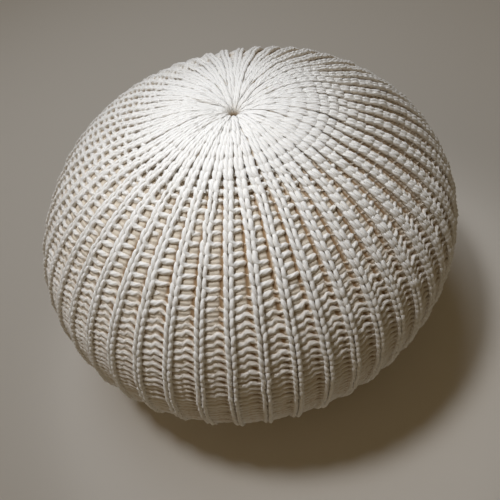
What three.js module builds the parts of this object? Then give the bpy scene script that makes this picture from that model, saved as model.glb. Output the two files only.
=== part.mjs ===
// Rib-knitted floor pouf in millimetres, +Z up, standing on its flat base.
// The cover is knitted in one piece, drawn together at the crown and filled firm, so it is one solid.
import * as THREE from 'three';

// Filled form, measured over the rib crests
const diameter = 500;
const height = 330;
const bellyHeight = 155; // height of the widest place
const crownPower = 2.04; // 2 makes the curve above the belly an ellipse
const footPower = 2.4; // the curve below the belly is fuller
const footDepth = 170; // that curve would close this far below the belly if the floor didn't cut it
const lean = { x: 0.09, y: -0.0086 }; // sideways, per millimetre of height

// Soft unevenness of the filling: where it swells, how wide in degrees, and by how much
const swells = [
  { azimuth: 170, spread: 13, swell: -3.4 },
  { azimuth: 133, spread: 18, swell: 2.6 },
  { azimuth: 72, spread: 16, swell: -2.6 },
];

// Gather at the crown: a small hole in a dimple, pulled a little to the front
const gather = {
  holeRadius: 4,
  holeDepth: 22,
  lipRadius: 10,
  dimpleRadius: 26,
  dimpleDepth: 10,
  shiftY: -9,
  shiftReach: 110,
};

// Ribs: raised columns of knit with a valley of purl between them
const ribCount = 52;
const rib = {
  crest: 9, // width of a rib's flat top
  flank: 2.5, // width of each sloping side
  mostOfPitch: 0.3, // a squeezed crest or flank takes at most this share of the pitch
  purlDepth: 4.5, // the valley's floor beside a rib's right side
  hollowDepth: 6.5, // and the deeper hollow at the next rib's left side
  flatPitch: 4, // ribs this close together show no relief
  fullPitch: 18, // and from this pitch on their full depth
  footFade: 60, // relief dies out over this height above the floor
  firstAzimuth: -123.1,
  wander: 3.3, // degrees by which the ribs fan apart and together around the side
  wanderWaves: 2,
  wanderPeak: -84,
  wanderTurn: -1.9, // and by which they turn as a whole
  wanderFrom: 75, // radius on the crown where that begins
  wanderFull: 130,
};

// Fineness of the solid
const crownStep = 5; // degrees of profile between rings, above the belly
const footRings = 8;
const finePitch = 8; // four points to a rib from this pitch on, two below it
const baseFace = { corners: 3, radius: 70 };

const degree = Math.PI / 180;
const belly = diameter / 2;
const crownHeight = height - bellyHeight;

// A point on the curve above (up = 1) or below (up = -1) the belly, with its outward normal.
function onCurve(angle, up) {
  const power = up > 0 ? crownPower : footPower;
  const reach = up > 0 ? crownHeight : footDepth;
  const across = Math.cos(angle) ** (2 / power);
  const along = Math.sin(angle) ** (2 / power);
  const normal = new THREE.Vector2(
    across ** (power - 1) / belly,
    (up * along ** (power - 1)) / reach,
  ).normalize();
  return { radius: belly * across, z: bellyHeight + up * reach * along, normal };
}

// The rings of the upper and lower curves, from the crown down to the floor.
function profileRings() {
  const rings = [];
  for (let step = 90 - crownStep; step >= 0; step -= crownStep) {
    rings.push(onCurve(step * degree, 1));
  }
  const floorAngle = Math.asin((bellyHeight / footDepth) ** (footPower / 2));
  for (let k = 1; k <= footRings; k += 1) {
    rings.push(onCurve((floorAngle * k) / footRings, -1));
  }
  rings.at(-1).z = 0;
  return rings;
}

// How much of the ribs' depth shows on a ring.
function reliefOn(ring) {
  const pitch = (2 * Math.PI * ring.radius) / ribCount;
  const opened = THREE.MathUtils.smoothstep(pitch, rib.flatPitch, rib.fullPitch);
  return opened * Math.min(1, ring.z / rib.footFade);
}

// Azimuth of a rib's middle, or of a place between ribs: even at the gather, wandering below the crown.
function ribAzimuth(place, radius) {
  const even = rib.firstAzimuth + (360 * place) / ribCount;
  const sway = rib.wander * Math.cos(rib.wanderWaves * (even - rib.wanderPeak) * degree);
  const share = THREE.MathUtils.smoothstep(radius, rib.wanderFrom, rib.wanderFull);
  return even + share * (rib.wanderTurn + sway);
}

// Corners of one rib on a ring: ribs ahead, offset along the ring from there, and depth below the crest.
function ribCorners(ring) {
  const pitch = (2 * Math.PI * ring.radius) / ribCount;
  const relief = reliefOn(ring);
  if (pitch < finePitch) {
    return [
      { ahead: 0, offset: 0, depth: 0 },
      { ahead: 0.5, offset: 0, depth: rib.hollowDepth * relief },
    ];
  }
  const half = Math.min(rib.crest / 2, rib.mostOfPitch * pitch);
  const flank = Math.min(rib.flank, (rib.mostOfPitch * pitch) / 2);
  return [
    { ahead: 0, offset: -half, depth: 0 },
    { ahead: 0, offset: half, depth: 0 },
    { ahead: 0, offset: half + flank, depth: rib.purlDepth * relief },
    { ahead: 1, offset: -half - flank, depth: rib.hollowDepth * relief },
  ];
}

// The filling's swelling at an azimuth, in millimetres at the belly.
function swellAt(azimuth) {
  let total = 0;
  for (const row of swells) {
    const away = THREE.MathUtils.euclideanModulo(azimuth - row.azimuth + 180, 360) - 180;
    total += row.swell * Math.exp(-((away / row.spread) ** 2));
  }
  return total;
}

// Places a point: the dimple, the swelling, the lean and the pull of the gather.
function placed(azimuth, radius, z) {
  const swollen = radius * (1 + swellAt(azimuth) / belly);
  const onCrown = z > bellyHeight ? Math.exp(-((radius / gather.shiftReach) ** 2)) : 0;
  const sunk = gather.dimpleDepth * Math.exp(-((radius / gather.dimpleRadius) ** 2));
  const level = z > bellyHeight ? z - sunk : z;
  return new THREE.Vector3(
    swollen * Math.cos(azimuth * degree) + lean.x * level,
    swollen * Math.sin(azimuth * degree) + lean.y * level + gather.shiftY * onCrown,
    level,
  );
}

// A ribbed ring of points.
function ribbedRing(ring) {
  const points = [];
  const corners = ribCorners(ring);
  for (let index = 0; index < ribCount; index += 1) {
    for (const corner of corners) {
      const middle = ribAzimuth(index + corner.ahead, ring.radius);
      const azimuth = middle + corner.offset / ring.radius / degree;
      const radius = ring.radius - corner.depth * ring.normal.x;
      points.push(placed(azimuth, radius, ring.z - corner.depth * ring.normal.y));
    }
  }
  return points;
}

// A plain ring of points.
function plainRing(count, radius, z) {
  const points = [];
  for (let index = 0; index < count; index += 1) {
    points.push(placed(rib.firstAzimuth + (360 * index) / count, radius, z));
  }
  return points;
}

// Triangles between two rings whose points may differ in number, joined at equal shares of the way round.
function bridge(triangles, first, second) {
  const at = (ring, k) => ring[k % ring.length];
  let i = 0;
  let j = 0;
  while (i < first.length || j < second.length) {
    const alongFirst = (i + 1) / first.length < (j + 1) / second.length;
    if (j === second.length || (i < first.length && alongFirst)) {
      triangles.push(at(first, i), at(second, j), at(first, i + 1));
      i += 1;
    } else {
      triangles.push(at(first, i), at(second, j), at(second, j + 1));
      j += 1;
    }
  }
}

// A flat fan that closes a ring, seen from above or from below.
function cap(triangles, ring, facesUp) {
  for (let k = 1; k + 1 < ring.length; k += 1) {
    const pair = facesUp ? [ring[k], ring[k + 1]] : [ring[k + 1], ring[k]];
    triangles.push(ring[0], ...pair);
  }
}

// The closed skin from the bottom of the gather's hole, over the crown and belly, to the base.
function poufGeometry() {
  const rings = [
    plainRing(ribCount / 4, gather.holeRadius, height - gather.holeDepth),
    plainRing(ribCount / 2, gather.holeRadius, height),
    plainRing(ribCount, gather.lipRadius, height),
    ...profileRings().map(ribbedRing),
    plainRing(baseFace.corners, baseFace.radius, 0),
  ];
  const triangles = [];
  cap(triangles, rings[0], true);
  for (let k = 0; k + 1 < rings.length; k += 1) {
    bridge(triangles, rings[k], rings[k + 1]);
  }
  cap(triangles, rings.at(-1), false);
  const geometry = new THREE.BufferGeometry().setFromPoints(triangles);
  geometry.computeBoundingBox();
  const middle = geometry.boundingBox.getCenter(new THREE.Vector3());
  geometry.translate(-middle.x, -middle.y, 0);
  geometry.computeVertexNormals();
  return geometry;
}

const cottonKnit = new THREE.MeshStandardMaterial({ color: '#ebe3d3', roughness: 0.95, metalness: 0 });

const pouf = new THREE.Group();
const cover = new THREE.Mesh(poufGeometry(), cottonKnit);
cover.name = 'knit_pouf';
pouf.add(cover);

export default pouf;
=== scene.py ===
import math

import bmesh
import bpy
import numpy as np
from mathutils import Matrix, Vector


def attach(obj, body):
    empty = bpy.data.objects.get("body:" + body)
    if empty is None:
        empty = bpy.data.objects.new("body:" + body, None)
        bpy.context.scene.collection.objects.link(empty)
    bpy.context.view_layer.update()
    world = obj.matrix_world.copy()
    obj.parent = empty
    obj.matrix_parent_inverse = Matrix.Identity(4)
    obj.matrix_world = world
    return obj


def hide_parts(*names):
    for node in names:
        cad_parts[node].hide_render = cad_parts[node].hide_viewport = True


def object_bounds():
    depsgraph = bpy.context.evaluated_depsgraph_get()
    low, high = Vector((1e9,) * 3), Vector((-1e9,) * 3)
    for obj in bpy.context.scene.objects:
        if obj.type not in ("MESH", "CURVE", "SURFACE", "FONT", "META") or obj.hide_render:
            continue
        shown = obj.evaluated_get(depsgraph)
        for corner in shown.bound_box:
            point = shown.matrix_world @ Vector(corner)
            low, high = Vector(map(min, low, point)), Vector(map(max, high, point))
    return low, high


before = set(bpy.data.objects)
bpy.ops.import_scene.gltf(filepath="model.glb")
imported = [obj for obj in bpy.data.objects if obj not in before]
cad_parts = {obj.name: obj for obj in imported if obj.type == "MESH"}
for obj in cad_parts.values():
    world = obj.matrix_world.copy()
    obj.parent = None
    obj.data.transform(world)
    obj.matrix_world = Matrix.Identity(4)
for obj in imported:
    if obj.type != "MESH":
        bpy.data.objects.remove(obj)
cadLow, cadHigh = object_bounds()
mm = 0.001
print("frame loaded:", sorted(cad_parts))


# Camera, as the photograph was taken: from above the front edge, tipped to one side
view = {
    "place": (-1.3, -436.8, 639.2),  # mm
    "down": 51.57,  # degrees below the horizon
    "tip": -13.1,  # degrees of roll
    "lens": 37.44,  # mm
    "sensor": 36,  # mm
    "nearest": 0.01,  # m
}


def makeCamera():
    lens = bpy.data.cameras.new("camera")
    lens.lens = view["lens"]
    lens.sensor_width = view["sensor"]
    lens.clip_start = view["nearest"]
    camera = bpy.data.objects.new("camera", lens)
    bpy.context.collection.objects.link(camera)
    look = Matrix.Rotation(math.radians(90 - view["down"]), 4, "X")
    tip = Matrix.Rotation(math.radians(view["tip"]), 4, "Z")
    camera.matrix_world = Matrix.Translation([mm * v for v in view["place"]]) @ look @ tip
    bpy.context.scene.camera = camera


makeCamera()
print("camera placed")


def smooth(value, low, high):
    # rises from 0 to 1 between low and high
    t = np.clip((value - low) / (high - low), 0, 1)
    return t * t * (3 - 2 * t)


def plateau(value, begin, full, last, end):
    return smooth(value, begin, full) * (1 - smooth(value, last, end))


def bell(offset, width):
    return np.exp(-((offset / width) ** 2))


def turnFrom(middle, azimuth):
    # degrees from the middle, to either side
    return (azimuth - middle + 180) % 360 - 180


# Filled form over the rib crests, in mm, as in the CAD solid but for the gather
form = {
    "diameter": 500,
    "height": 330,
    "bellyHeight": 155,  # of the widest place
    "crownPower": 2.04,  # 2 makes the curve above the belly an ellipse
    "footPower": 2.4,  # the curve below it is fuller
    "footDepth": 170,  # and would close this far below the belly if the floor didn't cut it
    "leanX": 0.09,  # sideways, per mm of height
    "leanY": -0.0086,
    "dimpleDepth": 10,
    "dimpleRadius": 26,
    "holeDepth": 34,  # deeper than the solid's, because the yarn fills its rim
    "holeRadius": 4.2,
    "gatherShift": -4.5,  # the yarn's hole shows further back than the solid's
    "gatherReach": 110,
    "swells": [(170, 13, -3.4), (133, 18, 2.6), (72, 16, -2.6)],  # azimuth, spread in degrees, mm
    "baseSteps": 300,  # fineness of the profile
    "footSteps": 500,
    "crownSteps": 1600,
    "sideSteps": 4000,
    "softSteps": 25,  # over which the normals are rounded, for the edge of the base
}


def sideProfile():
    # radius, height, outward normal and run along the side, from the middle of the base to the gather
    belly = form["diameter"] / 2
    up = form["height"] - form["bellyHeight"]
    floorAngle = math.asin((form["bellyHeight"] / form["footDepth"]) ** (form["footPower"] / 2))
    foot = np.linspace(floorAngle, 0, form["footSteps"], endpoint=False)
    crown = np.linspace(0, math.pi / 2, form["crownSteps"])
    footRadius = belly * np.cos(foot) ** (2 / form["footPower"])
    crownRadius = belly * np.maximum(np.cos(crown), 0) ** (2 / form["crownPower"])
    base = np.linspace(0, footRadius[0], form["baseSteps"], endpoint=False)
    footLevel = form["bellyHeight"] - form["footDepth"] * np.sin(foot) ** (2 / form["footPower"])
    crownLevel = form["bellyHeight"] + up * np.sin(crown) ** (2 / form["crownPower"])
    crownLevel -= form["dimpleDepth"] * bell(crownRadius, form["dimpleRadius"])
    crownLevel -= form["holeDepth"] * bell(crownRadius, form["holeRadius"])
    radius = np.concatenate([base, footRadius, crownRadius])
    level = np.concatenate([0 * base, footLevel, crownLevel])
    run = np.concatenate([[0], np.cumsum(np.hypot(np.diff(radius), np.diff(level)))])
    even = np.linspace(0, run[-1], form["sideSteps"])
    radius = np.interp(even, run, radius)
    level = np.interp(even, run, level)
    soften = np.ones(form["softSteps"]) / form["softSteps"]
    ends = form["softSteps"] // 2
    normalR = np.convolve(np.pad(np.gradient(level, even), ends, "edge"), soften, "valid")
    normalZ = np.convolve(np.pad(-np.gradient(radius, even), ends, "edge"), soften, "valid")
    size = np.hypot(normalR, normalZ)
    return {"run": even, "radius": radius, "level": level, "nr": normalR / size, "nz": normalZ / size}


def formed(azimuth, radius, level):
    # a point of the round form with the filling's swells, the lean and the pull of the gather, mm
    swollen = np.ones_like(azimuth)
    for middle, spread, swell in form["swells"]:
        away = turnFrom(middle, azimuth)
        swollen = swollen + swell / (form["diameter"] / 2) * bell(away, spread)
    pull = np.where(level > form["bellyHeight"], bell(radius, form["gatherReach"]), 0)
    turn = np.radians(azimuth)
    x = radius * swollen * np.cos(turn) + form["leanX"] * level
    y = radius * swollen * np.sin(turn) + form["leanY"] * level + form["gatherShift"] * pull
    return np.stack([x, y, level], -1)


# The form's box, from every degree and every tenth step, is brought over the middle of the CAD box
side = sideProfile()
turns, steps = np.meshgrid(np.arange(360.0), np.arange(0, form["sideSteps"], 10))
skin = formed(turns, side["radius"][steps], side["level"][steps]).reshape(-1, 3)
cadMiddle = np.array([(a + b) / 2 / mm for a, b in zip(cadLow, cadHigh)])
toFrame = cadMiddle - (skin.min(0) + skin.max(0)) / 2
toFrame[2] = 0
print("form sampled, moved by", toFrame.round(2), "mm to the frame")


# Knit: one-by-one rib, rows counted from the base up to the gather, sizes in mm
knit = {
    "ribs": 52,
    "firstAzimuth": -123.1,
    "wander": 3.3,  # degrees by which the ribs' spacing wanders below the crown
    "wanderWaves": 2,
    "wanderPeak": -84,
    "wanderTurn": -1.9,
    "wanderRadius": (75, 130),
    "yarnRadius": 1.9,
    "sides": 6,  # faces round the yarn
    "baseSides": 4,  # and on the underside
    "ribPitch": 10.5,  # ribs closer than this are squeezed
    "squeeze": 0.33,  # yarn radius over pitch in the squeezed crown
    "widen": 0.3,  # squeezed yarn is wider by this share
    "flatten": 0.42,  # and has this height over its width
    "pressedPitch": (10, 15),  # rib pitches between which it turns from squeezed to free
    "leafPitch": (9, 13),  # rib pitches between which the crown's leaves turn into loops
    "shut": 20.5,  # rib pitch at which the purl waves end short of the next rib
    "spread": 27,  # and at which they run right across the valley
    "deepPitch": 14,  # rib pitch from which the stitches have their full depth
    "leastDeep": 0.3,  # and the share of it that they keep at the gather
    "tight": (10, 70),  # azimuth and spread of the side where the cover is drawn tight
    "tightDepth": 1.5,  # the bars lie deeper there by this
    "tightFat": 0.2,  # and are thinner by this share
    "tightLegs": (2.2, 1.25),  # legs stand in line: distance from the rib's middle, share of the way there
    "legAcross": 1.3,  # a point further out than this
    "legDepth": 5.7,  # and less deep than this is on a leg
    "barPoints": 7,  # the last points of a repeat are the bar
    "rowPitch": [  # radius and row height: gathered rows grow long, wide ones pull short
        (0, 26), (24, 22), (40, 20), (50, 17), (66, 16), (80, 15.5), (87, 9.6),
        (112, 9.9), (130, 10.1), (165, 10.1), (195, 9.3), (222, 8.1), (236, 7.6), (250, 7),
    ],
    "firstRadius": 14,  # where the base's rows begin
    "floorLevel": 0.5,  # rows lower than this lie on the floor
    "crowding": [  # every nth rib keeps its width, the others are squeezed out from this radius to this
        (2, 58, 38), (4, 27, 14),
    ],
    "left": 0.2,  # share of its width that a rib squeezed out still has
    "sinkDepth": 0.7,  # and how far it sinks
    "openRadius": 3.8,  # of the hole that the yarn leaves at the gather
    "creases": [  # azimuth, from and to radius, width, depth: pleats left by the gathering
        (152, 18, 52, 5, 2), (-86, 24, 58, 5, 1), (112, 20, 40, 5, 1.5), (-57, 28, 52, 4, 1.6),
        (82, 20, 40, 4, 1.5), (-142, 22, 56, 4, 1), (17, 22, 36, 3, 1), (-42, 40, 66, 4, 1),
    ],
    "creaseEnds": (5, 14),  # over which they begin and end
    "shadeDepth": (3.5, 9.5),  # depths over which painted shade turns the yarn's tone warmer and darker
    "gatherShade": (4, 14),  # and over which painted shade turns it dark down the hole of the gather
    "seed": 7,
    "rowJog": (0.05, 0.08),  # chance shift of a loop and of a purl wave, in rows
    "acrossJog": (0.25, 1.0),  # and across
    "fatJog": 0.07,  # share of the thickness
    "depthJog": 0.3,
    "swayMost": 1.2,  # deviations, the most that chance gives a whole rib
    "swayDepth": 0.2,
    "bend": 0.6,  # by which a rib bends to and fro
    "bendTurn": 0.23,  # radians a row
    "bendStart": 3,  # radians to each deviation
}

# One repeat of a row's yarn: a knit loop on the rib, then a wave of purl across the valley.
# Its columns: mm across from the rib's middle, share of the rib pitch, rows up, depth of the yarn's middle
# in mm, and fatness. This one ends short of the next rib.
shutRepeat = [
    (-1.5, 0, -0.20, 5.6, 0.66),
    (-1.4, 0, 0.00, 4.3, 0.90),
    (-1.6, 0, 0.26, 3.5, 1.12),
    (-2.0, 0, 0.54, 3.1, 1.24),
    (-2.4, 0, 0.82, 3.2, 1.16),
    (-2.7, 0, 1.06, 4.0, 0.92),
    (-2.5, 0, 1.22, 5.4, 0.74),
    (-1.4, 0, 1.33, 7.0, 0.80),
    (0.4, 0, 1.36, 7.2, 0.80),
    (2.2, 0, 1.30, 5.8, 0.76),
    (2.5, 0, 1.16, 4.9, 0.86),
    (2.5, 0, 0.98, 3.7, 1.04),
    (2.5, 0, 0.70, 2.8, 1.24),
    (2.3, 0, 0.40, 2.6, 1.28),
    (2.3, 0, 0.14, 2.7, 1.28),
    (3.6, 0, -0.04, 3.3, 1.46),
    (0, 0.29, -0.08, 4.5, 1.62),
    (0, 0.43, -0.04, 5.2, 1.60),
    (0, 0.58, 0.00, 6.2, 1.40),
    (0, 0.66, 0.02, 9.2, 1.00),
    (0, 0.72, 0.02, 10.4, 0.90),
    (0, 0.78, -0.04, 9.8, 0.80),
]
# where the valleys are wide: the purl waves right across
openRepeat = [
    (-2.6, 0, -0.20, 5.8, 0.80),
    (-2.1, 0, 0.02, 4.7, 0.94),
    (-2.1, 0, 0.28, 4.1, 1.10),
    (-2.4, 0, 0.56, 3.8, 1.18),
    (-2.7, 0, 0.84, 3.9, 1.12),
    (-2.9, 0, 1.06, 4.5, 0.96),
    (-2.7, 0, 1.22, 5.6, 0.84),
    (-1.6, 0, 1.34, 6.8, 0.84),
    (0.4, 0, 1.40, 7.2, 0.84),
    (2.2, 0, 1.32, 5.8, 0.82),
    (2.8, 0, 1.18, 4.4, 0.90),
    (2.9, 0, 0.98, 3.2, 1.08),
    (2.7, 0, 0.70, 2.7, 1.20),
    (2.4, 0, 0.40, 2.7, 1.20),
    (2.2, 0, 0.12, 3.3, 1.08),
    (3.5, 0, -0.12, 5.2, 1.30),
    (0, 0.25, -0.16, 6.0, 1.62),
    (0, 0.39, -0.17, 6.0, 1.66),
    (0, 0.46, 0.06, 6.6, 1.46),
    (0, 0.54, 0.30, 6.3, 1.52),
    (0, 0.64, 0.16, 6.5, 1.48),
    (0, 0.76, -0.10, 7.2, 1.16),
]
# on the gathered crown: long tapering leaves in pairs, the purl drawn in under them
crownRepeat = [
    (-1.3, 0, -0.34, 4.6, 0.50),
    (-1.5, 0, -0.12, 3.2, 0.80),
    (-1.9, 0, 0.14, 2.2, 1.02),
    (-2.2, 0, 0.44, 1.9, 1.14),
    (-2.5, 0, 0.74, 2.0, 1.08),
    (-2.8, 0, 1.00, 2.9, 0.84),
    (-2.8, 0, 1.18, 4.2, 0.60),
    (-1.6, 0, 1.28, 4.6, 0.50),
    (0.3, 0, 1.30, 5.0, 0.50),
    (2.3, 0, 1.26, 4.2, 0.55),
    (2.8, 0, 1.12, 3.8, 0.70),
    (2.7, 0, 0.90, 2.5, 0.98),
    (2.4, 0, 0.62, 1.9, 1.14),
    (2.1, 0, 0.32, 2.0, 1.10),
    (1.8, 0, 0.04, 2.8, 0.90),
    (1.7, 0, -0.20, 4.4, 0.60),
    (0, 0.30, -0.20, 5.4, 0.60),
    (0, 0.42, -0.20, 6.0, 0.60),
    (0, 0.50, -0.20, 6.4, 0.60),
    (0, 0.56, -0.22, 6.4, 0.60),
    (0, 0.65, -0.26, 6.2, 0.60),
    (0, 0.76, -0.30, 5.4, 0.55),
]


def rowsAlong():
    # how many rows lie below each place along the side, found from the row heights
    table = np.array(knit["rowPitch"], float)
    height = np.interp(side["radius"], table[:, 0], table[:, 1])
    onBase = side["level"] < knit["floorLevel"]
    start = np.searchsorted(side["radius"][onBase], knit["firstRadius"])
    number = np.concatenate([[0], np.cumsum(np.diff(side["run"]) / height[1:])])
    return number - number[start]


def ribAzimuth(place, radius):
    # azimuth of a place among the ribs: even at the gather, wandering below the crown
    even = knit["firstAzimuth"] + 360 * place / knit["ribs"]
    sway = np.radians(knit["wanderWaves"] * (even - knit["wanderPeak"]))
    wandered = knit["wanderTurn"] + knit["wander"] * np.cos(sway)
    return even + smooth(radius, *knit["wanderRadius"]) * wandered


def creased(azimuth, radius):
    # how deep the pleats near the gather pull the yarn in
    deep = np.zeros_like(azimuth)
    begins, ends = knit["creaseEnds"]
    for middle, low, high, width, most in knit["creases"]:
        off = np.radians(turnFrom(middle, azimuth)) * radius
        along = plateau(radius, low - begins, low + begins, high - ends, high)
        deep += most * along * bell(off, width)
    return deep


def crowded(place, radius):
    # near the gather: a point's place among the ribs, the width left to it, how far its rib is squeezed out
    ribs = knit["ribs"]
    moved, width, out = place, np.ones_like(place), np.zeros_like(place)
    for every, high, low in knit["crowding"]:
        goes = 1 - smooth(radius, low, high)
        stays = np.arange(ribs) % every == 0
        kept = every - (every - 1) * knit["left"]
        widths = np.where(stays, kept, knit["left"])
        edges = np.concatenate([[0], np.cumsum(widths)])
        nearest = np.floor(place + 0.5).astype(int)
        within = place + 0.5 - nearest
        mine = widths[nearest % ribs]
        packed = edges[nearest % ribs] + ribs * (nearest // ribs) + within * mine - kept / 2
        moved = moved + goes * (packed - moved)
        width = width + goes * (mine - width)
        out = np.maximum(out, np.where(stays[nearest % ribs], 0, goes))
    return moved, width, out


def repeatPoints(rows, rib, rowRadius):
    # the five columns of each row's repeat, chosen by the room that a rib has
    shut, spread, leaf = np.array(shutRepeat), np.array(openRepeat), np.array(crownRepeat)
    rowRoom = 2 * np.pi * rowRadius[..., None] / knit["ribs"]
    opened = smooth(rowRoom, knit["shut"], knit["spread"])
    blend = shut + (spread - shut) * opened
    onCrown = rowLevel[rows][:, None, None, None] > form["bellyHeight"]
    blend = blend + (leaf - blend) * onCrown * (1 - smooth(rowRoom, *knit["leafPitch"]))
    across, share, up, deep, fat = (blend[..., k] for k in range(blend.shape[-1]))
    # on the tight side the bars that end short lie deeper, and the legs of the loops stand in line
    middle, width = knit["tight"]
    drawn = np.exp(-((turnFrom(middle, ribAzimuth(rib, rowRadius)) / width) ** 4))
    onBar = np.arange(len(shut)) >= len(shut) - knit["barPoints"]
    bar = drawn * (1 - opened[..., 0]) * onBar
    straight, most = knit["tightLegs"]
    onLeg = (np.abs(across) > knit["legAcross"]) & (deep < knit["legDepth"]) & ~onBar
    across = across + most * drawn * onLeg * (np.sign(across) * straight - across)
    return across, share, up, deep + knit["tightDepth"] * bar, fat * (1 - knit["tightFat"] * bar)


def yarnPath(rows):
    # of these rows' yarn: middle line, surface normal, half width and height, depth, and drop into the hole
    chance = np.random.default_rng(knit["seed"])
    ribs = knit["ribs"]
    wild = chance.normal(size=(rowCount, ribs, 2, 4))[rows]
    most = knit["swayMost"]
    sway = np.clip(chance.normal(size=(ribs, 3)), -most, most)[None, :, None, :]
    row = np.array(rows, float)[:, None, None]
    rib = np.arange(ribs, dtype=float)[None, :, None]
    rowPlace = np.interp(row, rowsBelow, side["run"])
    rowRadius = np.interp(rowPlace, side["run"], side["radius"])
    across, share, up, deep, fat = repeatPoints(rows, rib, rowRadius)
    wave = (np.array(shutRepeat)[:, 1] > 0).astype(int)  # 0 on the knit loop, 1 on the purl wave
    jog = wild[:, :, wave, :]
    height = row + up + np.array(knit["rowJog"])[wave] * jog[..., 0]
    run = np.interp(height, rowsBelow, side["run"])
    keys = ("radius", "level", "nr", "nz")
    radius, level, nr, nz = (np.interp(run, side["run"], side[key]) for key in keys)
    place, width, out = crowded(rib + share, radius)
    pitch = 2 * np.pi * radius / ribs
    room = pitch * width
    bend = knit["bend"] * sway[..., 0] * np.sin(row * knit["bendTurn"] + knit["bendStart"] * sway[..., 1])
    aside = across + np.array(knit["acrossJog"])[wave] * jog[..., 1] + bend
    place = place + aside * np.minimum(room / knit["ribPitch"], 1) / pitch
    pressed = 1 - smooth(pitch, *knit["pressedPitch"])  # in the crown the yarn lies wide and flat
    free = knit["yarnRadius"] * fat * (1 + knit["fatJog"] * jog[..., 2]) * (1 + knit["widen"] * pressed)
    half = np.minimum(free, knit["squeeze"] * room * fat)
    thick = half * (1 - (1 - knit["flatten"]) * pressed)
    depth = thick + (deep - knit["yarnRadius"]) * np.clip(room / knit["deepPitch"], knit["leastDeep"], 1)
    depth += knit["depthJog"] * jog[..., 3] + knit["swayDepth"] * sway[..., 2] + knit["sinkDepth"] * out
    azimuth = ribAzimuth(place, radius)
    depth = np.maximum(depth, thick) + creased(azimuth, radius)
    reach = np.maximum(radius - depth * np.maximum(nr, 0), knit["openRadius"])
    line = formed(azimuth, reach, level - depth * nz) + toFrame
    turn = np.radians(azimuth)
    normal = np.stack([nr * np.cos(turn), nr * np.sin(turn), nz], -1)
    drop = form["holeDepth"] * bell(radius, form["holeRadius"]) * (level > form["bellyHeight"])
    flat = (len(rows), -1)
    sizes = [part.reshape(flat) for part in (half, thick, depth, drop)]
    return line.reshape(*flat, 3), normal.reshape(*flat, 3), *sizes


def unit(vectors):
    return vectors / np.maximum(np.linalg.norm(vectors, axis=-1, keepdims=True), 1e-9)


def yarnPiece(name, rows, sides):
    # tubes of yarn, one closed ring to a row, with a map of length and turn for the plies
    line, normal, half, thick, depth, drop = yarnPath(rows)
    along = unit(np.roll(line, -1, 1) - np.roll(line, 1, 1))
    across = unit(np.cross(normal, along))
    out = np.cross(along, across)
    turn = 2 * np.pi * (np.arange(sides) + 0.5) / sides
    ring = line[:, :, None, :] + across[:, :, None, :] * (half[..., None] * np.cos(turn))[..., None]
    ring = ring + out[:, :, None, :] * (thick[..., None] * np.sin(turn))[..., None]
    ring[..., 2] = np.maximum(ring[..., 2], 0)  # pressed flat on the floor
    nRows, nSteps = line.shape[:2]
    spots = np.arange(nRows * nSteps * sides).reshape(nRows, nSteps, sides)
    ahead = np.roll(spots, -1, 1)
    faces = np.stack([spots, np.roll(spots, -1, 2), np.roll(ahead, -1, 2), ahead], -1)
    mesh = bpy.data.meshes.new(name)
    mesh.from_pydata((ring * mm).reshape(-1, 3), [], faces.reshape(-1, 4))
    length = np.linalg.norm(np.roll(line, -1, 1) - line, axis=-1)
    end = np.cumsum(length, 1)
    u = np.stack([end - length, end - length, end, end], -1)[:, :, None, :] * mm
    v = (np.arange(sides)[:, None] + np.array([0, 1, 1, 0])) / sides
    layer = mesh.uv_layers.new(name="yarnRun")
    layer.data.foreach_set("uv", np.stack(np.broadcast_arrays(u, v), -1).astype(np.float32).ravel())
    # painted shade: up to 1 for yarn lying deep between the stitches, up to 2 down the hole
    paintedShade = smooth(depth[..., None] - thick[..., None] * np.sin(turn), *knit["shadeDepth"])
    paintedShade = np.maximum(paintedShade, 2 * smooth(drop, *knit["gatherShade"])[..., None])
    layer = mesh.attributes.new("paintedShade", "FLOAT", "POINT")
    layer.data.foreach_set("value", paintedShade.astype(np.float32).ravel())
    mesh.shade_smooth()
    piece = bpy.data.objects.new(name, mesh)
    bpy.context.collection.objects.link(piece)
    return piece


rowsBelow = rowsAlong()
rowCount = int(rowsBelow[-1]) + 1
rowLevel = np.interp(np.arange(rowCount), rowsBelow, side["level"])
onFloor = [row for row in range(rowCount) if rowLevel[row] < knit["floorLevel"]]
standing = [row for row in range(rowCount) if rowLevel[row] >= knit["floorLevel"]]
bands = ["knit_foot", "knit_belly", "knit_waist", "knit_shoulder", "knit_crown"]
pieces = [yarnPiece("knit_base", onFloor, knit["baseSides"])]
for name, rows in zip(bands, np.array_split(standing, len(bands))):
    pieces.append(yarnPiece(name, rows.tolist(), knit["sides"]))
for piece in pieces:
    print("knitted", piece.name, 2 * len(piece.data.polygons), "triangles")


# Filled body under the stitches: the inner face of the knit that shows in its gaps, in mm
body = {
    "depth": 6.1,  # under the rib crests
    "footDepth": 5.1,  # and below the belly
    "footBlend": 30,  # of height above and below the belly, from one to the other
    "crownDepth": 2.4,
    "crownRadius": (68, 94),  # over which that ends
    "floorGap": 4,  # between the body and the floor
    "lift": 0.6,  # raised by this under the purl bars of the shoulder
    "liftShare": (0.12, 0.25, 0.42, 0.56),  # of the rib pitch: begins, is full, and ends
    "liftRadius": (105, 130, 195, 215),
    "hollow": 1.9,  # deeper by this at the left of each rib, where the knit turns back
    "hollowShare": (0.58, 0.66, 0.76, 0.84),
    "hollowTurn": 0.15,  # and by this share earlier up to the shoulder
    "hollowRadius": (60, 85),  # where it begins and is full
    "turnRadius": (100, 135),  # and where it leaves the turn behind
    "hollowLevel": 12,  # none lower than this
    "rings": 78,
    "ribSteps": 12,
    "gatherRadius": 30,  # the rings end here, and the skin goes down
    "gatherLevel": 190,  # to a point at this height
    "holeRadius": 15,  # painted dark shade inside this
    "merge": 0.01,
}


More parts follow.
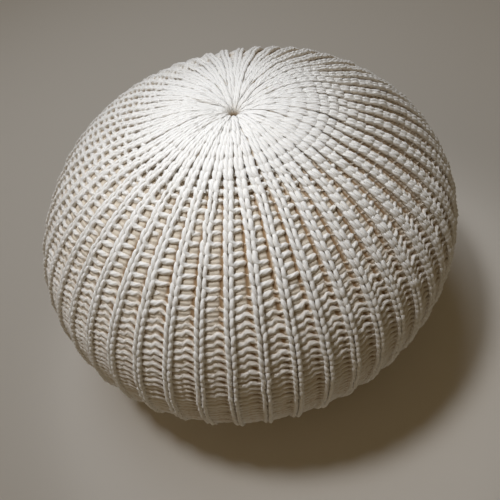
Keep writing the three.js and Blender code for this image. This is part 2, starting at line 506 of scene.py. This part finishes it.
def filledBody():
    belly = form["bellyHeight"]
    pick = np.linspace(0, len(side["run"]) - 1, body["rings"]).astype(int)
    pick = pick[side["radius"][pick] > body["gatherRadius"] * (side["level"][pick] > belly)]
    opening = smooth(side["radius"], *body["crownRadius"]) + (side["level"] < belly)
    deep = body["crownDepth"] + (body["depth"] - body["crownDepth"]) * np.minimum(opening, 1)
    low = smooth(belly - side["level"], -body["footBlend"], body["footBlend"])
    deep += (body["footDepth"] - body["depth"]) * low
    radius = np.maximum(side["radius"] - deep * side["nr"], 0)[pick]
    level = np.maximum(side["level"] - deep * side["nz"], body["floorGap"])[pick]
    bm = bmesh.new()
    rows = bm.verts.layers.float.new("rows")
    spots = [bm.verts.new((r, 0, z)) for r, z in zip(radius, level)]
    for spot, count in zip(spots, rowsBelow[pick]):
        spot[rows] = count
    spots.append(bm.verts.new((0, 0, body["gatherLevel"])))
    edges = [bm.edges.new(pair) for pair in zip(spots, spots[1:])]
    bmesh.ops.spin(
        bm, geom=spots + edges, cent=(0, 0, 0), axis=(0, 0, 1), angle=2 * math.pi,
        steps=knit["ribs"] * body["ribSteps"], use_merge=True,
    )
    bmesh.ops.remove_doubles(bm, verts=bm.verts, dist=body["merge"])
    bmesh.ops.recalc_face_normals(bm, faces=bm.faces)
    bm.verts.ensure_lookup_table()
    # the turned skin is brought to the ribs' places, with a hollow and a lift to each
    places = np.array([v.co for v in bm.verts])
    normals = np.array([v.normal for v in bm.verts])
    around = np.hypot(places[:, 0], places[:, 1])
    azimuth = np.degrees(np.arctan2(places[:, 1], places[:, 0]))
    steps = np.round((azimuth - knit["firstAzimuth"]) / 360 * knit["ribs"] * body["ribSteps"])
    rib = steps / body["ribSteps"]
    onCrown = places[:, 2] > belly
    early = body["hollowTurn"] * (1 - smooth(around, *body["turnRadius"])) * onCrown
    hollow = plateau(rib % 1 + early, *body["hollowShare"])
    hollow *= smooth(around, *body["hollowRadius"]) * (places[:, 2] > body["hollowLevel"])
    lift = plateau(rib % 1, *body["liftShare"]) * plateau(around, *body["liftRadius"]) * onCrown
    turned = ribAzimuth(rib, around)
    sunk = body["hollow"] * hollow - body["lift"] * lift + creased(turned, around) * onCrown
    inward = around - sunk * np.hypot(normals[:, 0], normals[:, 1])
    moved = formed(turned, inward, places[:, 2] - sunk * normals[:, 2]) + toFrame
    for spot, place in zip(bm.verts, moved):
        spot.co = place * mm
    mesh = bpy.data.meshes.new("filled_body")
    bm.to_mesh(mesh)
    bm.free()
    # painted shade: up to 1 for the hollows, 2 for the dark hole
    hollow = np.maximum(hollow, 2 * onCrown * (around < body["holeRadius"]))
    shade = mesh.attributes.new("hollow", "FLOAT", "POINT")
    shade.data.foreach_set("value", hollow.astype(np.float32))
    mesh.shade_smooth()
    piece = bpy.data.objects.new("filled_body", mesh)
    bpy.context.collection.objects.link(piece)
    return piece


inside = filledBody()
print("filled body", len(inside.data.polygons), "faces")


def linear(hexColour):
    # sRGB hex to linear colour
    parts = [int(hexColour[k:k + 2], 16) / 255 for k in (1, 3, 5)]
    return [p / 12.92 if p <= 0.04045 else ((p + 0.055) / 1.055) ** 2.4 for p in parts] + [1]


def addNode(tree, kind, settings=None, inputs=None):
    # a node with its settings; an input is a value, or a socket to link from
    node = tree.nodes.new(kind)
    for key, value in (settings or {}).items():
        setattr(node, key, value)
    for key, value in (inputs or {}).items():
        if isinstance(value, bpy.types.NodeSocket):
            tree.links.new(value, node.inputs[key])
        else:
            node.inputs[key].default_value = value
    return node


def newMaterial(name):
    material = bpy.data.materials.new(name)
    material.use_nodes = True
    material.node_tree.nodes.clear()
    return material, material.node_tree


# Undyed combed cotton yarn, loosely plied: matt, soft, with fine strands along it
cotton = {
    "light": "#faf7f1",
    "shade": "#efe8dc",
    "deep": "#c2a986",  # painted warm shade, where the yarn lies deep between the stitches
    "hole": "#1f1a14",  # and painted dark shade down the hole of the gather
    "plies": 4,
    "plyTurn": 34,  # mm of yarn for one turn of the plies
    "fibre": 0.9,  # mm, far coarser than a real fibre, so that it shows
    "fibreHeight": 0.8,  # over the height of the plies
    "mottle": 45,  # mm
    "mottleTone": 0.4,  # share of the shade
    "grooveTone": 0.35,  # and, as painted shade, in the grooves between the plies
    "relief": 0.4,  # mm
    "roughness": 0.92,
}


def paintedHoleShade(tree, amount, colour):
    # painted dark shade: an amount past 1 lies in the hole of the gather
    past = addNode(tree, "ShaderNodeMath", {"operation": "SUBTRACT", "use_clamp": True}, {
        0: amount, 1: 1.0,
    })
    return addNode(tree, "ShaderNodeMix", {"data_type": "RGBA"}, {
        0: past.outputs[0], 6: colour, 7: linear(cotton["hole"]),
    }).outputs[2]


def cottonYarn():
    material, tree = newMaterial("plied cotton yarn")
    coords = addNode(tree, "ShaderNodeTexCoord")
    run = addNode(tree, "ShaderNodeUVMap", {"uv_map": "yarnRun"})
    parts = addNode(tree, "ShaderNodeSeparateXYZ", {}, {0: run.outputs[0]})
    # plies wind round the yarn: one turn of the section for each plyTurn of its length
    turns = addNode(tree, "ShaderNodeMath", {"operation": "MULTIPLY_ADD"}, {
        0: parts.outputs[0], 1: 1 / (cotton["plyTurn"] * mm), 2: parts.outputs[1],
    })
    wave = addNode(tree, "ShaderNodeMath", {"operation": "MULTIPLY"}, {
        0: turns.outputs[0], 1: 2 * math.pi * cotton["plies"],
    })
    ply = addNode(tree, "ShaderNodeMath", {"operation": "COSINE"}, {0: wave.outputs[0]})
    mottle = addNode(tree, "ShaderNodeTexNoise", {}, {
        "Vector": coords.outputs["Object"], "Scale": 1 / (cotton["mottle"] * mm), "Detail": 3.0,
    })
    fibre = addNode(tree, "ShaderNodeTexNoise", {}, {
        "Vector": coords.outputs["Object"], "Scale": 1 / (cotton["fibre"] * mm), "Detail": 2.0,
    })
    # painted shade: darker in the grooves between the plies
    groove = addNode(tree, "ShaderNodeMapRange", {}, {
        "Value": ply.outputs[0], "From Min": -1.0, "From Max": 0.2,
        "To Min": cotton["grooveTone"], "To Max": 0.0,
    })
    tone = addNode(tree, "ShaderNodeMath", {"operation": "MULTIPLY_ADD"}, {
        0: mottle.outputs[0], 1: cotton["mottleTone"], 2: groove.outputs[0],
    })
    colour = addNode(tree, "ShaderNodeMix", {"data_type": "RGBA"}, {
        0: tone.outputs[0], 6: linear(cotton["light"]), 7: linear(cotton["shade"]),
    })
    # painted shade: warmer and darker where the yarn lies deep, dark down the hole
    paintedShade = addNode(tree, "ShaderNodeAttribute", {"attribute_name": "paintedShade"})
    warm = addNode(tree, "ShaderNodeMix", {"data_type": "RGBA"}, {
        0: paintedShade.outputs["Fac"], 6: colour.outputs[2], 7: linear(cotton["deep"]),
    })
    height = addNode(tree, "ShaderNodeMath", {"operation": "MULTIPLY_ADD"}, {
        0: fibre.outputs[0], 1: cotton["fibreHeight"], 2: ply.outputs[0],
    })
    bump = addNode(tree, "ShaderNodeBump", {}, {
        "Strength": 0.35, "Distance": cotton["relief"] * mm, "Height": height.outputs[0],
    })
    shader = addNode(tree, "ShaderNodeBsdfPrincipled", {}, {
        "Base Color": paintedHoleShade(tree, paintedShade.outputs["Fac"], warm.outputs[2]),
        "Roughness": cotton["roughness"], "Normal": bump.outputs[0],
        "Sheen Weight": 0.25, "Sheen Roughness": 0.5, "Specular IOR Level": 0.2,
    })
    addNode(tree, "ShaderNodeOutputMaterial", {}, {"Surface": shader.outputs[0]})
    return material


# The inner face of the knit, in shade behind the stitches: cotton with a fine rib, darkened and browned as
# painted shade
backing = {
    # darker and browner than the yarn: painted shade behind the stitches
    "light": "#ddd0bc",
    "shade": "#9c7f5e",  # painted shade in the hollows
    "grain": 2.6,  # mm
    "grainHeight": 0.8,  # over the height of the strands
    "strand": 0.11,  # of a row, by which the strands lie lower
    "strandTone": 0.2,  # share by which they are lighter than the grooves between them, which are darkened as painted shade
    "relief": 0.9,  # mm
    "roughness": 0.95,
}


def cottonBacking():
    material, tree = newMaterial("cotton backing with painted shade")
    coords = addNode(tree, "ShaderNodeTexCoord")
    noise = addNode(tree, "ShaderNodeTexNoise", {}, {
        "Vector": coords.outputs["Object"], "Scale": 1 / (backing["grain"] * mm), "Detail": 2.0,
    })
    # two strands to a row, one of them behind the purl bar, and none in the hollows
    rows = addNode(tree, "ShaderNodeAttribute", {"attribute_name": "rows"})
    turned = addNode(tree, "ShaderNodeMath", {"operation": "MULTIPLY_ADD"}, {
        0: rows.outputs["Fac"], 1: 4 * math.pi, 2: 4 * math.pi * backing["strand"],
    })
    wave = addNode(tree, "ShaderNodeMath", {"operation": "COSINE"}, {0: turned.outputs[0]})
    hollow = addNode(tree, "ShaderNodeAttribute", {"attribute_name": "hollow"})
    bare = addNode(tree, "ShaderNodeMath", {"operation": "SUBTRACT"}, {0: 1.0, 1: hollow.outputs["Fac"]})
    strand = addNode(tree, "ShaderNodeMath", {"operation": "MULTIPLY"}, {
        0: wave.outputs[0], 1: bare.outputs[0],
    })
    # painted shade: darker between the strands and in the hollows
    tone = addNode(tree, "ShaderNodeMath", {"operation": "MULTIPLY_ADD", "use_clamp": True}, {
        0: strand.outputs[0], 1: -backing["strandTone"], 2: hollow.outputs["Fac"],
    })
    colour = addNode(tree, "ShaderNodeMix", {"data_type": "RGBA"}, {
        0: tone.outputs[0], 6: linear(backing["light"]), 7: linear(backing["shade"]),
    })
    height = addNode(tree, "ShaderNodeMath", {"operation": "MULTIPLY_ADD"}, {
        0: noise.outputs[0], 1: backing["grainHeight"], 2: strand.outputs[0],
    })
    bump = addNode(tree, "ShaderNodeBump", {}, {
        "Strength": 0.4, "Distance": backing["relief"] * mm, "Height": height.outputs[0],
    })
    shader = addNode(tree, "ShaderNodeBsdfPrincipled", {}, {
        "Base Color": paintedHoleShade(tree, hollow.outputs["Fac"], colour.outputs[2]),
        "Roughness": backing["roughness"], "Normal": bump.outputs[0], "Specular IOR Level": 0.1,
    })
    addNode(tree, "ShaderNodeOutputMaterial", {}, {"Surface": shader.outputs[0]})
    return material


yarn = cottonYarn()
for piece in pieces:
    piece.data.materials.append(yarn)
inside.data.materials.append(cottonBacking())
print("materials made")


# Plain pale floor and soft studio light
studio = {
    "floor": "#ded6c9",
    "floorRoughness": 0.6,
    "floorSize": 6,  # m
    "sky": "#ffe2ad",
    "skyStrength": 0.1,
    "lampAim": (-0.025, -0.075, 0.3),  # m
    "lamps": [  # kind, name, azimuth and elevation in degrees, distance and size in m, watts, colour
        ("AREA", "key", 110, 63, 1.6, 1.0, 11.5, "#e8f1ff"),
        ("AREA", "fill", -150, 35, 2.2, 1.4, 1.2, "#ffdcaa"),
        ("SPOT", "spot", 160, 74, 1.2, 0.3, 49, "#f1f6ff"),  # a narrow soft beam on the crown and shoulder
    ],
    "beam": 26,  # degrees
}


def hungLamp(kind, name, azimuth, elevation, distance, size, watts, colour):
    lamp = bpy.data.lights.new(name, kind)
    lamp.energy = watts
    lamp.color = linear(colour)[:3]
    if kind == "SPOT":
        lamp.shadow_soft_size = size / 2
        lamp.spot_size = math.radians(studio["beam"])
        lamp.spot_blend = 1
    else:
        lamp.shape = "DISK"
        lamp.size = size
    holder = bpy.data.objects.new(name, lamp)
    bpy.context.collection.objects.link(holder)
    swing = Matrix.Rotation(math.radians(azimuth + 90), 4, "Z")
    swing = swing @ Matrix.Rotation(math.radians(90 - elevation), 4, "X")
    away = Matrix.Translation((0, 0, distance))
    holder.matrix_world = Matrix.Translation(studio["lampAim"]) @ swing @ away


def makeStudio():
    bm = bmesh.new()
    bmesh.ops.create_grid(bm, x_segments=1, y_segments=1, size=studio["floorSize"] / 2)
    mesh = bpy.data.meshes.new("floor")
    bm.to_mesh(mesh)
    bm.free()
    floor = bpy.data.objects.new("floor", mesh)
    bpy.context.collection.objects.link(floor)
    # even, matt and pale, so that only the soft shadow shows on it
    material, tree = newMaterial("matt pale floor")
    shader = addNode(tree, "ShaderNodeBsdfPrincipled", {}, {
        "Base Color": linear(studio["floor"]), "Roughness": studio["floorRoughness"],
    })
    addNode(tree, "ShaderNodeOutputMaterial", {}, {"Surface": shader.outputs[0]})
    mesh.materials.append(material)
    world = bpy.data.worlds.new("studio")
    world.use_nodes = True
    sky = world.node_tree.nodes["Background"]
    sky.inputs[0].default_value = linear(studio["sky"])
    sky.inputs[1].default_value = studio["skyStrength"]
    bpy.context.scene.world = world
    for row in studio["lamps"]:
        hungLamp(*row)
    bpy.context.scene.view_settings.view_transform = "Standard"


makeStudio()
print("studio lit")

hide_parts("knit_pouf")
for piece in [inside] + pieces:
    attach(piece, "root")
